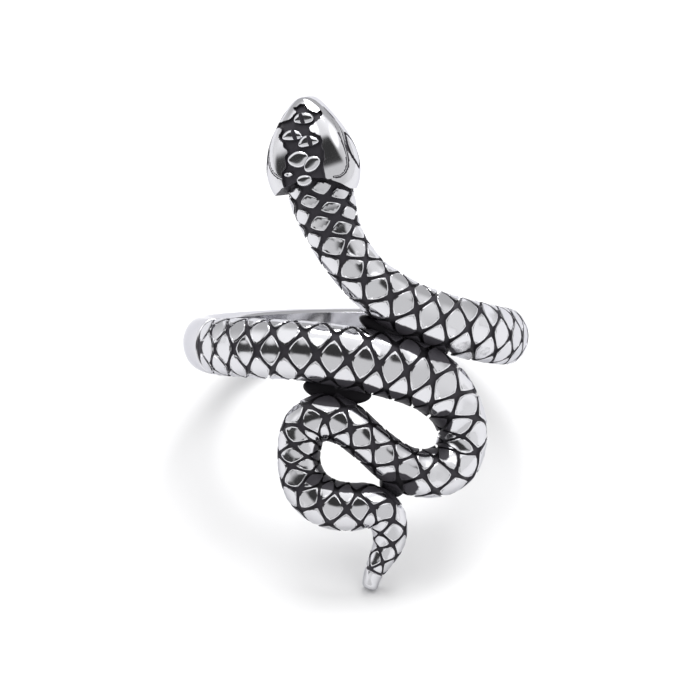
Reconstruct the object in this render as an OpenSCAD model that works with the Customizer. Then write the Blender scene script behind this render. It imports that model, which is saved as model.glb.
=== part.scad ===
// A cast snake that winds once around the finger, with its head up and its tail coiled below.

/* [Finger] */
// Diameter of the finger hole
bore_d = 18; // [16:0.1:21]
// Radius at which a turn along the snake is measured
path_r = 10.5; // [10:0.1:12]

/* [Scales] */
// Depth of the grooves between the scales
groove_depth = 0.24; // [0.12:0.02:0.34]
// How much the middle of a scale stands above its rim
scale_pillow = 0.05; // [0:0.01:0.12]
// Part of the way to its corners that the flat of a scale reaches
corner_reach = 0.66; // [0.5:0.02:0.8]
// Part of the way to its sides that the flat of a scale reaches
side_reach = 0.78; // [0.6:0.02:0.86]

/* [Body section] */
// Height of the widest line of the body, as a part of its thickness
waist_part = 0.42; // [0.3:0.02:0.5]
// Angle from the top of the back down to the lower edge of the flank
flank_angle = 125; // [110:1:140]
// How far the belly reaches into the finger hole before that is cut
belly_depth = 0.5; // [0.3:0.1:1]

/* [Head] */
// Angle around the finger of the back of the head
head_turn = -11.6; // [-16:0.2:-8]
// Height of the back of the head along the finger
head_base = 9.55; // [9:0.05:10]
// Lean of the head away from the line of the finger
head_lean = 9; // [0:1:15]

/* [Rest] */
// How far the ring leans back on its tail and on the rim of its shank
lean_back = 36.5; // [35.5:0.1:37.5]
// Height of the finger hole's middle above the surface at rest
rest_height = 6.72; // [6.6:0.01:6.8]
// Shift that sets the ring's middle over the origin from front to back
rest_back = 3.87; // [3.7:0.01:4.1]
// Shift that sets the ring's middle over the origin from side to side
rest_right = -0.17; // [-0.3:0.01:0.1]

/* [Hidden] */

// Length of the cutters, more than the ring is long
BORE_CUT = 60;
// Number of scale steps from one flank to the other
ROWS = 6;
// Columns of the snake's table
TURN = 0;
HEIGHT = 1;
WIDTH = 2;
THICK = 3;
PITCH = 4;
// One row for each section of the snake, from the back of its head to its tail:
// turn about the finger, height along it, width, thickness, length of one scale
snake = [
    [-13.3, 11.20, 3.90, 2.80, 1.45],
    [-11.2, 9.60, 4.05, 2.75, 1.45],
    [-6.5, 7.50, 3.60, 2.75, 1.55],
    [-1.5, 6.00, 3.35, 2.80, 1.75],
    [4.5, 4.70, 3.30, 2.85, 1.90],
    [12.0, 3.65, 3.50, 2.85, 1.80],
    [21.0, 2.70, 3.65, 2.80, 1.75],
    [31.5, 2.00, 3.75, 2.75, 1.85],
    [45.0, 1.35, 3.85, 2.70, 2.10],
    [64.0, 0.75, 3.80, 2.60, 1.95],
    [84.0, 0.40, 3.70, 2.50, 1.90],
    [104.0, 0.20, 3.40, 2.30, 1.90],
    [130.0, 0.10, 2.95, 1.95, 2.00],
    [155.0, 0.10, 2.75, 1.75, 2.00],
    [180.0, 0.10, 2.75, 1.70, 2.00],
    [205.0, 0.10, 2.75, 1.75, 2.00],
    [230.0, 0.05, 2.85, 1.85, 2.00],
    [253.0, 0.00, 3.10, 2.00, 2.00],
    [275.0, -0.05, 3.40, 2.20, 1.80],
    [295.4, 0.00, 3.65, 2.40, 1.66],
    [318.0, 0.15, 3.85, 2.65, 1.70],
    [340.0, 0.15, 3.85, 2.80, 1.85],
    [354.0, -0.10, 3.95, 2.85, 1.85],
    [367.0, -0.55, 4.10, 2.90, 1.65],
    [378.0, -1.05, 4.20, 2.90, 1.62],
    [387.0, -1.70, 4.15, 2.90, 1.75],
    [395.0, -2.75, 3.85, 2.85, 1.88],
    [401.2, -4.15, 3.45, 2.80, 2.00],
    [403.0, -5.60, 3.35, 2.75, 2.08],
    [400.0, -7.00, 3.35, 2.70, 2.05],
    [391.8, -7.68, 3.25, 2.70, 2.00],
    [382.0, -7.60, 3.10, 2.65, 1.90],
    [373.8, -6.85, 2.90, 2.60, 1.80],
    [365.0, -5.55, 2.75, 2.60, 1.70],
    [357.3, -4.45, 2.95, 2.60, 1.60],
    [349.3, -4.05, 3.10, 2.60, 1.50],
    [342.6, -4.70, 3.05, 2.55, 1.40],
    [340.2, -6.05, 2.85, 2.50, 1.40],
    [340.5, -7.45, 2.85, 2.50, 1.40],
    [343.8, -8.70, 3.10, 2.50, 1.50],
    [350.3, -9.50, 3.20, 2.50, 1.60],
    [358.0, -9.75, 3.15, 2.45, 1.60],
    [365.0, -9.70, 2.95, 2.40, 1.50],
    [371.0, -10.15, 2.65, 2.30, 1.50],
    [373.3, -11.20, 2.45, 2.10, 1.50],
    [372.8, -12.25, 2.10, 1.90, 1.40],
    [370.2, -13.20, 1.65, 1.60, 1.30],
    [367.6, -14.10, 1.45, 1.30, 1.20],
    [366.4, -14.85, 0.95, 0.90, 1.20],
];
// Places in the snake's table where one stretch ends and the next begins
NECK = 0;
SHOULDER = 11;
FLANK = 19.1;
RETURN = 30.5;
TIP = 46.8;
TAIL_END = len(snake) - 1;
// How far stretches lap into each other, as a part of the way between two rows of the table
LAP = 0.1;
// Rings of points along the shank and along the tip of the tail
SHANK_RINGS = 26;
TIP_RINGS = 4;

// Columns of the head's table
AHEAD = 0;
HEAD_WIDTH = 1;
CROWN = 2;
// One row for each section of the head, from its back to the snout:
// distance ahead of its back, width, height of the crown above the finger
head_rows = [
    [0.00, 3.60, 2.75],
    [0.25, 4.50, 3.15],
    [0.70, 5.20, 3.40],
    [1.20, 5.60, 3.52],
    [1.80, 5.82, 3.58],
    [2.50, 5.82, 3.58],
    [3.40, 5.50, 3.50],
    [4.30, 4.80, 3.32],
    [5.20, 3.75, 3.00],
    [5.80, 2.90, 2.70],
    [6.30, 2.05, 2.35],
    [6.60, 1.30, 2.05],
    [6.75, 0.60, 1.75],
];
// Columns of the table of head plates
RIGHT = 1;
LONG = 2;
BROAD = 3;
// One row for each raised plate on the crown: distance ahead, distance to the right, length, breadth
plates = [
    [5.35, 0.20, 0.70, 1.10],
    [4.43, -0.52, 0.68, 1.08],
    [3.94, 0.34, 0.74, 1.10],
    [2.88, -0.33, 0.94, 1.10],
    [2.50, 0.38, 0.92, 0.92],
];
// Distance of the eyes ahead of the back of the head, and their rise above the finger
EYE_AHEAD = 3;
EYE_RISE = 1.8;
EYE_LONG = 2.2;
EYE_BROAD = 0.8;

// Columns of the table of webs, where branches of the snake are cast into each other
WEB_TURN = 0;
WEB_HEIGHT = 1;
WEB_LONG = 2;
WEB_BROAD = 3;
WEB_SLANT = 4;
WEB_RISE = 5;
// One row for each web: turn, height, length, breadth, slant, rise above the finger
webs = [
    [-6.4, -2.40, 5.00, 1.90, 0, 1.40],
    [15.0, -8.40, 1.90, 1.70, -35, 1.40],
    [17.0, 1.00, 6.20, 1.50, -25, 1.50],
];

// Point of the finger's unrolled surface at a distance along the turn, a height and a rise above it
function wrapped(along, up, rise) =
    let (turn = along / path_r * 180 / PI, r = bore_d / 2 + rise)
    [r * sin(turn), -r * cos(turn), up];

// Section of the snake between the rows of its table, by a smooth curve through them
function row(i) = snake[max(0, min(len(snake) - 1, i))];
function section(t) =
    let (i = min(floor(t), len(snake) - 2), f = t - i)
    let (a = row(i - 1), b = row(i), c = row(i + 1), d = row(i + 2))
    b + 0.5 * f * ((c - a) + f * ((2 * a - 5 * b + 4 * c - d) + f * (3 * (b - c) + d - a)));
function flat_place(s) = [s[TURN] * PI / 180 * path_r, s[HEIGHT]];
// Direction to the snake's left in the unrolled surface, at place t of its table
NEAR = 0.05;
function across(t) =
    let (step = flat_place(section(t + NEAR)) - flat_place(section(t - NEAR)))
    [-step[1], step[0]] / norm(step);

// Point on the skin at table place t, angle from the back's top line, and rise above the scale tops
function skin(t, angle, rise) =
    let (s = section(t), waist = waist_part * s[THICK])
    let (side = (s[WIDTH] / 2 + rise) * sin(angle))
    let (up = waist + (s[THICK] - waist + rise) * cos(angle))
    let (place = flat_place(s) - side * across(t))
    wrapped(place[0], place[1], up);
// Edge of the belly, whose half breadth is a part of the body's width
BELLY_PART = 0.37;
function belly_edge(t, side) =
    let (s = section(t), place = flat_place(s) - side * BELLY_PART * s[WIDTH] * across(t))
    wrapped(place[0], place[1], -belly_depth);

// Half scale lengths passed between two places of the table, added up in small steps
STEP = 0.1;
function stride(t) =
    norm(flat_place(section(t + STEP)) - flat_place(section(t))) * 2 / section(t)[PITCH];
function places(from, to) =
    let (n = ceil((to - from) / STEP))
    [for (i = 0, sum = 0; i <= n; sum = sum + stride(from + i * STEP), i = i + 1)
        [sum, min(to, from + i * STEP)]];

// A closed stretch of body whose skin carries scales in crossing rows.
// Columns count half scale lengths, rows count from one flank to the other.
module scaled_stretch(from, to) {
    found = places(from, to);
    total = found[len(found) - 1][0];
    columns = round(total);
    row_angle = 2 * flank_angle / ROWS;
    function at(column, row, rise) =
        skin(lookup(column * total / columns, found), (row - ROWS / 2) * row_angle, rise);
    // The groove floor has a point at every crossing and scale middle, and one between each four
    floor_points = [for (i = [0:columns]) for (k = [0:ROWS]) at(i, k, -groove_depth)];
    between_points = [for (i = [0:columns - 1]) for (k = [0:ROWS - 1])
        at(i + 0.5, k + 0.5, -groove_depth)];
    belly_points = [for (i = [0:columns]) for (side = [-1, 1])
        belly_edge(lookup(i * total / columns, found), side)];
    function on_floor(i, k) = i * (ROWS + 1) + k;
    function between(i, k) = len(floor_points) + i * ROWS + k;
    function on_belly(i, k) = len(floor_points) + len(between_points) + 2 * i + k;
    scales = [for (i = [1:columns - 1]) for (k = [1:ROWS - 1]) if ((i + k) % 2 == 0) [i, k]];
    first_top = len(floor_points) + len(between_points) + len(belly_points);
    // The eight floor points around a scale, and the rim of its flat in the same order
    function rim_ways() = [
        [1, 0], [0.5, 0.5], [0, 1], [-0.5, 0.5], [-1, 0], [-0.5, -0.5], [0, -1], [0.5, -0.5],
    ];
    function reach(way) = (abs(way[0]) == 0.5 ? side_reach : corner_reach) * way;
    top_points = [for (s = scales) each concat(
        [at(s[0], s[1], scale_pillow)],
        [for (way = rim_ways()) let (r = reach(way)) at(s[0] + r[0], s[1] + r[1], 0)])];
    function around(i, k) = [
        on_floor(i + 1, k), between(i, k), on_floor(i, k + 1), between(i - 1, k),
        on_floor(i - 1, k), between(i - 1, k - 1), on_floor(i, k - 1), between(i, k - 1),
    ];
    scale_faces = [for (n = [0:len(scales) - 1])
        let (top = first_top + 9 * n, rim = around(scales[n][0], scales[n][1]))
        for (j = [0:7])
            let (next = (j + 1) % 8)
            each [
                [top, top + 1 + j, top + 1 + next],
                [top + 1 + j, rim[j], top + 1 + next],
                [top + 1 + next, rim[j], rim[next]],
            ]];
    // Along the edges of the stretch the scales stay flat at the groove floor
    end_faces = [for (k = [0:ROWS]) each concat(
        k % 2 == 0 ? half_fan(0, k, 1) : [],
        (columns + k) % 2 == 0 ? half_fan(columns, k, -1) : [])];
    function half_fan(i, k, way) =
        let (column = way > 0 ? i : i - 1)
        let (fan = [
            if (k > 0) on_floor(i, k - 1),
            if (k > 0) between(column, k - 1),
            on_floor(i + way, k),
            if (k < ROWS) between(column, k),
            if (k < ROWS) on_floor(i, k + 1),
        ])
        [for (j = [0:len(fan) - 2])
            way > 0 ? [on_floor(i, k), fan[j], fan[j + 1]] : [on_floor(i, k), fan[j + 1], fan[j]]];
    flank_faces = [for (i = [1:columns - 1]) each concat(
        i % 2 == 0 ? [for (j = [0:3]) let (fan = [
            on_floor(i + 1, 0), between(i, 0), on_floor(i, 1), between(i - 1, 0), on_floor(i - 1, 0)])
            [on_floor(i, 0), fan[j], fan[j + 1]]] : [],
        (i + ROWS) % 2 == 0 ? [for (j = [0:3]) let (fan = [
            on_floor(i - 1, ROWS), between(i - 1, ROWS - 1), on_floor(i, ROWS - 1),
            between(i, ROWS - 1), on_floor(i + 1, ROWS)])
            [on_floor(i, ROWS), fan[j], fan[j + 1]]] : [])];
    belly_faces = [for (i = [0:columns - 1]) each [
        [on_floor(i, 0), on_belly(i, 0), on_belly(i + 1, 0)],
        [on_floor(i, 0), on_belly(i + 1, 0), on_floor(i + 1, 0)],
        [on_belly(i, 0), on_belly(i, 1), on_belly(i + 1, 1)],
        [on_belly(i, 0), on_belly(i + 1, 1), on_belly(i + 1, 0)],
        [on_belly(i, 1), on_floor(i, ROWS), on_floor(i + 1, ROWS)],
        [on_belly(i, 1), on_floor(i + 1, ROWS), on_belly(i + 1, 1)],
    ]];
    caps = [
        concat([for (k = [0:ROWS]) on_floor(0, k)], [on_belly(0, 1), on_belly(0, 0)]),
        concat([for (k = [ROWS:-1:0]) on_floor(columns, k)],
            [on_belly(columns, 0), on_belly(columns, 1)]),
    ];
    polyhedron(
        concat(floor_points, between_points, belly_points, top_points),
        concat(scale_faces, end_faces, flank_faces, belly_faces, caps));
}

// A closed stretch of smooth body, with its ends sunk into the stretches beside it
SIDES = 14;
module plain_stretch(from, to, rings, end_rise) {
    function ring(i) =
        let (t = from + (to - from) * i / rings)
        let (rise = i == 0 ? -2 * groove_depth : i == rings ? end_rise : 0)
        concat(
            [for (k = [0:SIDES]) skin(t, (k / SIDES * 2 - 1) * flank_angle, rise)],
            [belly_edge(t, 1), belly_edge(t, -1)]);
    n = SIDES + 3;
    points = [for (i = [0:rings]) each ring(i)];
    sides = [for (i = [0:rings - 1]) for (k = [0:n - 1])
        let (a = i * n + k, b = i * n + (k + 1) % n)
        each [[a, b + n, b], [a, a + n, b + n]]];
    caps = [[for (k = [0:n - 1]) k], [for (k = [n - 1:-1:0]) rings * n + k]];
    polyhedron(points, concat(sides, caps));
}

// Point of the head's own flat frame, ahead of its back and to its right, wrapped on the finger
function on_head(ahead, right, rise) =
    let (along = head_turn * PI / 180 * path_r - ahead * sin(head_lean) + right * cos(head_lean))
    let (up = head_base + ahead * cos(head_lean) + right * sin(head_lean))
    wrapped(along, up, rise);

HEAD_SIDES = 18;
// Power that makes the head's sections rounder than 1 would and squarer than 0.5 would
SQUARENESS = 0.8;
function squarish(value) = sign(value) * pow(abs(value), SQUARENESS);
module head_shell() {
    function ring(h) = [for (k = [0:HEAD_SIDES - 1])
        let (angle = 360 * k / HEAD_SIDES, waist = waist_part * h[CROWN])
        on_head(
            h[AHEAD],
            h[HEAD_WIDTH] / 2 * squarish(sin(angle)),
            max(-belly_depth, waist + (h[CROWN] - waist) * squarish(cos(angle))))];
    rings = len(head_rows);
    sides = [for (i = [0:rings - 2]) for (k = [0:HEAD_SIDES - 1])
        let (a = i * HEAD_SIDES + k, b = i * HEAD_SIDES + (k + 1) % HEAD_SIDES)
        each [[a, b + HEAD_SIDES, b], [a, a + HEAD_SIDES, b + HEAD_SIDES]]];
    caps = [
        [for (k = [0:HEAD_SIDES - 1]) k],
        [for (k = [HEAD_SIDES - 1:-1:0]) (rings - 1) * HEAD_SIDES + k],
    ];
    polyhedron([for (h = head_rows) each ring(h)], concat(sides, caps));
}

// Two rings of sides and two caps that close three rings of points, stacked upwards
function stack_faces(n) = concat(
    [for (i = [0:1]) for (k = [0:n - 1])
        let (a = i * n + k, b = i * n + (k + 1) % n)
        each [[a, a + n, b], [b, a + n, b + n]]],
    [[for (k = [0:n - 1]) k], [for (k = [n - 1:-1:0]) 2 * n + k]]);

// A plate of the crown, a low dome whose foot is sunk into the head
PLATE_FOOT = 0.35;
PLATE_EDGE = 0.02;
PLATE_TOP = 0.16;
PLATE_TOP_PART = 0.6;
PLATE_SIDES = 12;
function crown_at(ahead) = lookup(ahead, [for (h = head_rows) [h[AHEAD], h[CROWN]]]);
module crown_plate(p) {
    function ring(part, up) = [for (k = [0:PLATE_SIDES - 1])
        let (angle = 360 * k / PLATE_SIDES)
        on_head(
            p[AHEAD] + part * p[LONG] / 2 * cos(angle),
            p[RIGHT] - part * p[BROAD] / 2 * sin(angle),
            crown_at(p[AHEAD]) + up)];
    polyhedron(
        concat(ring(1, -PLATE_FOOT), ring(1, PLATE_EDGE), ring(PLATE_TOP_PART, PLATE_TOP)),
        stack_faces(PLATE_SIDES));
}

// An almond eye on the side of the head, standing a little proud of the cheek
EYE_FOOT = 0.5;
EYE_EDGE = 0.03;
EYE_TOP = 0.1;
EYE_TOP_PART = 0.7;
EYE_SIDES = 12;
function cheek_at(ahead) = lookup(ahead, [for (h = head_rows) [h[AHEAD], h[HEAD_WIDTH] / 2]]);
module eye(side) {
    function ring(part, out) = [for (k = [0:EYE_SIDES - 1])
        let (angle = 360 * k / EYE_SIDES, ahead = EYE_AHEAD + part * EYE_LONG / 2 * cos(angle))
        on_head(
            ahead,
            side * (cheek_at(ahead) + out),
            EYE_RISE + side * part * EYE_BROAD / 2 * sin(angle) * abs(sin(angle)))];
    polyhedron(
        concat(ring(1, -EYE_FOOT), ring(1, EYE_EDGE), ring(EYE_TOP_PART, EYE_TOP)),
        stack_faces(EYE_SIDES));
}

// Metal that joins two branches, a low pad on the finger surface with a rounded edge
WEB_SIDES = 16;
// Height of its upright side and breadth of its top, as parts of the whole
WEB_SIDE_PART = 0.75;
WEB_TOP_PART = 0.75;
module web(w) {
    function ring(part, rise) = [for (k = [0:WEB_SIDES - 1])
        let (angle = 360 * k / WEB_SIDES)
        let (u = part * w[WEB_LONG] / 2 * cos(angle), v = part * w[WEB_BROAD] / 2 * sin(angle))
        wrapped(
            w[WEB_TURN] * PI / 180 * path_r + u * cos(w[WEB_SLANT]) - v * sin(w[WEB_SLANT]),
            w[WEB_HEIGHT] + u * sin(w[WEB_SLANT]) + v * cos(w[WEB_SLANT]),
            rise)];
    polyhedron(
        concat(ring(1, -belly_depth), ring(1, WEB_SIDE_PART * w[WEB_RISE]), ring(WEB_TOP_PART, w[WEB_RISE])),
        stack_faces(WEB_SIDES));
}

module ring_body() {
    scaled_stretch(NECK, SHOULDER);
    plain_stretch(SHOULDER - LAP, FLANK + LAP, SHANK_RINGS, -2 * groove_depth);
    scaled_stretch(FLANK, RETURN);
    scaled_stretch(RETURN, TIP);
    plain_stretch(TIP - LAP, TAIL_END, TIP_RINGS, 0);
    head_shell();
    for (p = plates) crown_plate(p);
    for (side = [-1, 1]) eye(side);
    for (w = webs) web(w);
}

// The whole ring is one casting. At rest it leans back on the tip of its tail and on the rim of
// its shank, where the surface it has worn on has left a small flat.
module snake_ring() {
    color([0.72, 0.72, 0.74])
    difference() {
        translate([rest_right, rest_back, rest_height])
        rotate([-lean_back, 0, 0])
        difference() {
            resize([0, 0, 0]) ring_body();
            cylinder(h = BORE_CUT, d = bore_d, center = true, $fn = 96);
        }
        translate([-BORE_CUT / 2, -BORE_CUT / 2, -BORE_CUT]) cube(BORE_CUT);
    }
}

snake_ring();
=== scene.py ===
import math
import random
from contextlib import contextmanager
from itertools import zip_longest

import bmesh
import bpy
import numpy as np
from mathutils import Matrix, Vector


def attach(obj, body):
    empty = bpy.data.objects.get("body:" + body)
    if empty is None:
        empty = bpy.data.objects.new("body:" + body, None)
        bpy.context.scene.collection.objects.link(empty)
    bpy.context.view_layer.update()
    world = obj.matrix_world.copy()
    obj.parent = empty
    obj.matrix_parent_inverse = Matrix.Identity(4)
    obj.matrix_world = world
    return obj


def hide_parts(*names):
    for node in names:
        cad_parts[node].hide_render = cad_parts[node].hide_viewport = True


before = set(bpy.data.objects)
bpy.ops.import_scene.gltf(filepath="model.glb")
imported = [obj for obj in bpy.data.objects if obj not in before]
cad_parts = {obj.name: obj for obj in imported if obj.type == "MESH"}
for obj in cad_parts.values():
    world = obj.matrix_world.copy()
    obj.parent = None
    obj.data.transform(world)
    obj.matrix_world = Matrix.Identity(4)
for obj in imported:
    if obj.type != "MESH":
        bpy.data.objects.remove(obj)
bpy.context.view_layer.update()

# Every length below is in millimetres until the finished ring is brought to metres.
MM = 0.001
# Points this close are one, and points this close to a line or an end lie on it
TOUCHING, NEAR = 1e-4, 1e-3

# The finger hole, the radius at which turns are measured, and the ring's place at rest
BORE_R = 9.0
PATH_R = 10.5
LEAN = math.radians(36.5)
REST_PLACE = Vector((-0.17, 3.87, 6.72))

# The straight snake is rolled up at this radius before its sections get their own sizes
ROLL_R = 1.9
# Height of the widest line of a section, as a part of its thickness, and the depth of its belly,
# which the finger hole then cuts off
WAIST = 0.42
BELLY_DEPTH = 0.6

# One row for each section of the snake, from the back of its head to its tail:
# turn about the finger, height along it, width, thickness, length of one scale
TURN, HEIGHT, WIDTH, THICK, PITCH = range(5)
SNAKE = np.array([
    (-12.7, 11.20, 4.30, 2.80, 1.45),
    (-10.8, 9.60, 4.25, 2.75, 1.45),
    (-6.5, 7.50, 3.60, 2.75, 1.55),
    (-1.5, 6.00, 3.35, 2.80, 1.75),
    (4.5, 4.70, 3.30, 2.85, 1.90),
    (12.0, 3.65, 3.50, 2.85, 1.80),
    (21.0, 2.70, 3.65, 2.80, 1.75),
    (31.5, 2.00, 3.75, 2.75, 1.85),
    (45.0, 1.35, 3.85, 2.70, 2.10),
    (64.0, 0.75, 3.80, 2.60, 1.95),
    (84.0, 0.40, 3.70, 2.50, 1.90),
    (104.0, 0.20, 3.40, 2.30, 1.90),
    (130.0, 0.10, 2.95, 1.95, 2.00),
    (155.0, 0.10, 2.75, 1.75, 2.00),
    (180.0, 0.10, 2.75, 1.70, 2.00),
    (205.0, 0.10, 2.75, 1.75, 2.00),
    (230.0, 0.05, 2.85, 1.85, 2.00),
    (253.0, 0.00, 3.10, 2.00, 2.00),
    (275.0, -0.05, 3.40, 2.20, 1.80),
    (295.4, 0.00, 3.65, 2.40, 1.66),
    (318.0, 0.15, 3.85, 2.65, 1.70),
    (340.0, 0.15, 3.85, 2.80, 1.85),
    (354.0, -0.10, 3.95, 2.85, 1.85),
    (367.0, -0.55, 4.10, 2.90, 1.65),
    (378.0, -1.05, 4.20, 2.90, 1.72),
    (387.0, -1.70, 4.15, 2.90, 1.88),
    (395.0, -2.75, 3.85, 2.85, 2.02),
    (401.2, -4.15, 3.45, 2.80, 2.15),
    (403.0, -5.60, 3.35, 2.75, 2.22),
    (400.0, -7.00, 3.35, 2.70, 2.22),
    (391.8, -7.68, 3.25, 2.70, 2.10),
    (382.0, -7.60, 3.10, 2.65, 1.90),
    (373.8, -6.85, 2.90, 2.60, 1.80),
    (365.0, -5.55, 2.75, 2.60, 1.70),
    (357.3, -4.45, 2.95, 2.60, 1.60),
    (349.3, -4.05, 3.10, 2.60, 1.50),
    (342.6, -4.70, 3.05, 2.55, 1.40),
    (340.2, -6.05, 2.85, 2.50, 1.40),
    (340.5, -7.45, 2.85, 2.50, 1.40),
    (343.8, -8.70, 3.10, 2.50, 1.50),
    (350.3, -9.50, 3.20, 2.50, 1.60),
    (358.0, -9.75, 3.15, 2.45, 1.60),
    (365.0, -9.70, 2.95, 2.40, 1.50),
    (371.0, -10.15, 2.65, 2.30, 1.50),
    (373.3, -11.20, 2.45, 2.10, 1.50),
    (372.8, -12.25, 2.10, 1.90, 1.40),
    (370.2, -13.20, 1.65, 1.60, 1.30),
    (367.6, -14.10, 1.50, 1.30, 1.20),
    (366.4, -14.85, 1.14, 0.95, 1.20),
])
# Places in the snake's table where scales begin and end, and where its coils are parted for casting
SCALED = {"neck": (0, 11), "coils": (19.1, 46.8)}
PARTED_AT = 30.5
SHANK = (11, 19.1)
TAIL_TIP = 46.8

# The scales: breadth of one round the body, and half the breadth of the flat sheet that they cover
SCALE_BREADTH = math.radians(84)
ROWS_TO_EDGE = 1.5
SHEET_EDGE = ROWS_TO_EDGE * SCALE_BREADTH * ROLL_R
# Half a groove: its depth, and the steps inwards and upwards over its floor, its slope and the
# rounded rim of the scale beside it
GROOVE_DEPTH = 0.24
GROOVE_FLOOR = 0.03
SCALE_STEPS = [(GROOVE_FLOOR, 0), (0.05, GROOVE_DEPTH), (0.045, 0.012)]
# A face with less room than this isn't raised to a scale
SMALLEST_SCALE = 0.32
# How sharp a scale's corners stay when they are smoothed, and how much of it they lose after that
CORNER_SHARPNESS = 0.8
CORNER_ROUNDING = -0.70
# More scales are laid than the snake has along it, and this many across it
SPARE_SCALES, SCALES_ACROSS = 6, 7
# Behind the head the grooves are wider by this much, up to this place in the table
NECK_GAP, NECK_GAP_TO = 0.07, 2.2
# The corners of the scales are carved up to this far astray, by a hand with this seed
CARVED_ASTRAY = 0.07
CARVER = 11
# Breadth of the plain flank on each side of the scales
FLANK_BREADTH = math.radians(32)
# How much of the blackening is worn off beside the shank, and over what length
WORN, WORN_LENGTH = 0.35, 10.0
# Scales from the snake's start to each stretch's first whole one
FIRST_SCALE = {"neck": 0.5, "coils": 0.25}
# Behind the head the scales are narrower and sit a little to one side, until this many scales on
NECK_BREADTH = 0.6
NECK_SHIFT = 0.28
NECK_SCALES = 6
NECK_FADE = 1.5
# Crossings this close to their stretch's border are moved onto it, and those this close to each
# other are joined
BORDER_REACH = 0.3
JOINED = 0.02

# The plain stretches: rows across, columns along, the lap under the scales beside them, how far
# the lap is sunk below the grooves, and the steps ahead and the sizes of the rounded tail tip
PLAIN_ROWS, SHANK_COLUMNS, TIP_COLUMNS = 10, 32, 6
LAP, SUNK_BELOW = 0.5, 0.02
TIP_STEPS = [(0.12, 0.90), (0.10, 0.76), (0.06, 0.55)]

# The head: turn and height of its back, lean, and its sections from there to the snout
HEAD_TURN = math.radians(-11.8)
HEAD_BASE = 9.55
HEAD_LEAN = math.radians(9)
HEAD_SIDES = 16
HEAD_SQUARENESS = 0.8
AHEAD, BROAD, CROWN = range(3)
HEAD = [
    (0.00, 3.60, 2.75),
    (0.25, 4.65, 3.15),
    (0.70, 5.38, 3.40),
    (1.20, 5.80, 3.52),
    (1.80, 6.02, 3.58),
    (2.50, 6.02, 3.58),
    (3.40, 5.68, 3.50),
    (4.30, 4.94, 3.32),
    (5.20, 3.85, 3.00),
    (5.80, 2.90, 2.70),
    (6.30, 2.05, 2.35),
    (6.60, 1.30, 2.05),
    (6.75, 0.60, 1.75),
]
# The carved hollow of the crown, as distances ahead of the head's back and to its right
CROWN_HOLLOW = [
    (6.29, -0.04), (6.24, 0.27), (5.90, 0.45), (5.67, 0.72), (5.60, 0.99), (5.76, 1.14),
    (5.46, 1.27), (5.13, 0.97), (4.91, 0.63), (4.72, 0.45), (4.45, 0.54), (4.32, 0.79),
    (4.16, 0.99), (3.80, 1.11), (3.45, 0.96), (3.17, 1.10), (2.62, 1.02), (2.14, 0.87),
    (1.20, 0.90), (1.20, -1.45), (1.95, -1.45), (2.20, -1.40), (2.42, -1.10), (2.70, -1.08),
    (3.12, -1.09), (3.40, -0.81), (3.75, -1.08), (4.10, -1.12), (4.28, -1.30), (4.48, -1.38),
    (4.81, -1.10), (5.00, -1.30), (5.00, -1.75), (5.10, -2.00), (5.30, -1.50), (5.35, -0.90),
    (5.43, -0.57), (5.65, -0.38), (5.81, -0.20), (6.13, -0.48), (6.12, -0.21),
]
HOLLOW_DEPTH = 0.20
HOLLOW_CORNER = 0.07
# Cutters for the head stand from below its skin to above it, and looks at it start outside it
UNDER_CROWN, ABOVE_CROWN = 2.0, 5.0
OUTSIDE = 6.0
# The plates in the hollow: how deep each sits, its tilt towards the snout, and its outline
PLATES = [
    (0, 0, [
        (5.66, -0.02), (5.68, 0.28), (5.56, 0.61), (5.23, 0.73),
        (5.02, 0.53), (5.01, 0.13), (5.14, -0.32), (5.45, -0.26),
    ]),
    (0, 8, [
        (4.75, -0.64), (4.67, -0.29), (4.48, -0.07), (4.22, -0.01),
        (4.10, -0.22), (4.12, -0.62), (4.21, -1.04), (4.48, -0.97),
    ]),
    (0, 10, [
        (4.29, 0.19), (4.21, 0.46), (4.04, 0.76), (3.84, 0.87),
        (3.67, 0.72), (3.61, 0.33), (3.58, -0.11), (3.84, -0.19),
    ]),
    (0, 0, [
        (3.34, -0.42), (3.29, -0.09), (3.06, 0.21), (2.70, 0.10),
        (2.42, -0.16), (2.41, -0.49), (2.64, -0.80), (3.00, -0.86),
    ]),
    (0, 0, [
        (2.94, 0.35), (2.87, 0.66), (2.65, 0.82), (2.30, 0.68),
        (2.06, 0.38), (2.04, 0.06), (2.28, -0.07), (2.70, 0.07),
    ]),
    (0, 0, [
        (2.10, -1.22), (2.16, -1.02), (2.08, -0.80), (1.92, -0.78), (1.84, -1.00), (1.90, -1.22),
    ]),
    (0.15, 0, [
        (1.86, -0.25), (1.78, 0.10), (1.50, 0.14), (1.22, -0.05),
        (1.18, -0.38), (1.40, -0.62), (1.74, -0.60),
    ]),
]
# Grooves across the first plates, from end to end
CREASES = [
    ((5.90, 0.06), (4.80, 0.20)),
    ((5.00, -0.42), (3.90, -0.30)),
    ((4.50, 0.40), (3.45, 0.50)),
]
CREASE_R = 0.12
# How far a plate goes down into the head, the taper of its side, the rise of its dome, the steps
# inwards over it and the part of the rise that each takes
PLATE_ROOT = 1.2
PLATE_TAPER = 0.02
PLATE_RISE = 0.12
PLATE_DOME = [(0.07, 0.60), (0.09, 0.30), (0.11, 0.10)]
# Smoothing takes in an outline, so it is drawn larger by this much
PLATE_GROWTH = 1.25
# The part of the hollow's depth over which a plate's side comes clear of the blackening
PLATE_BLACK = 0.6
# The step at the back of the crown, behind which the head gives way to the neck
BACK_STEP = [
    (0.80, -3.00), (0.82, -2.20), (1.02, -1.85), (1.22, -1.50), (1.45, -1.00), (1.60, -0.30),
    (1.60, 0.25), (1.52, 0.73), (1.36, 1.18), (1.06, 1.66), (0.64, 2.10), (0.34, 3.00),
]
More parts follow.
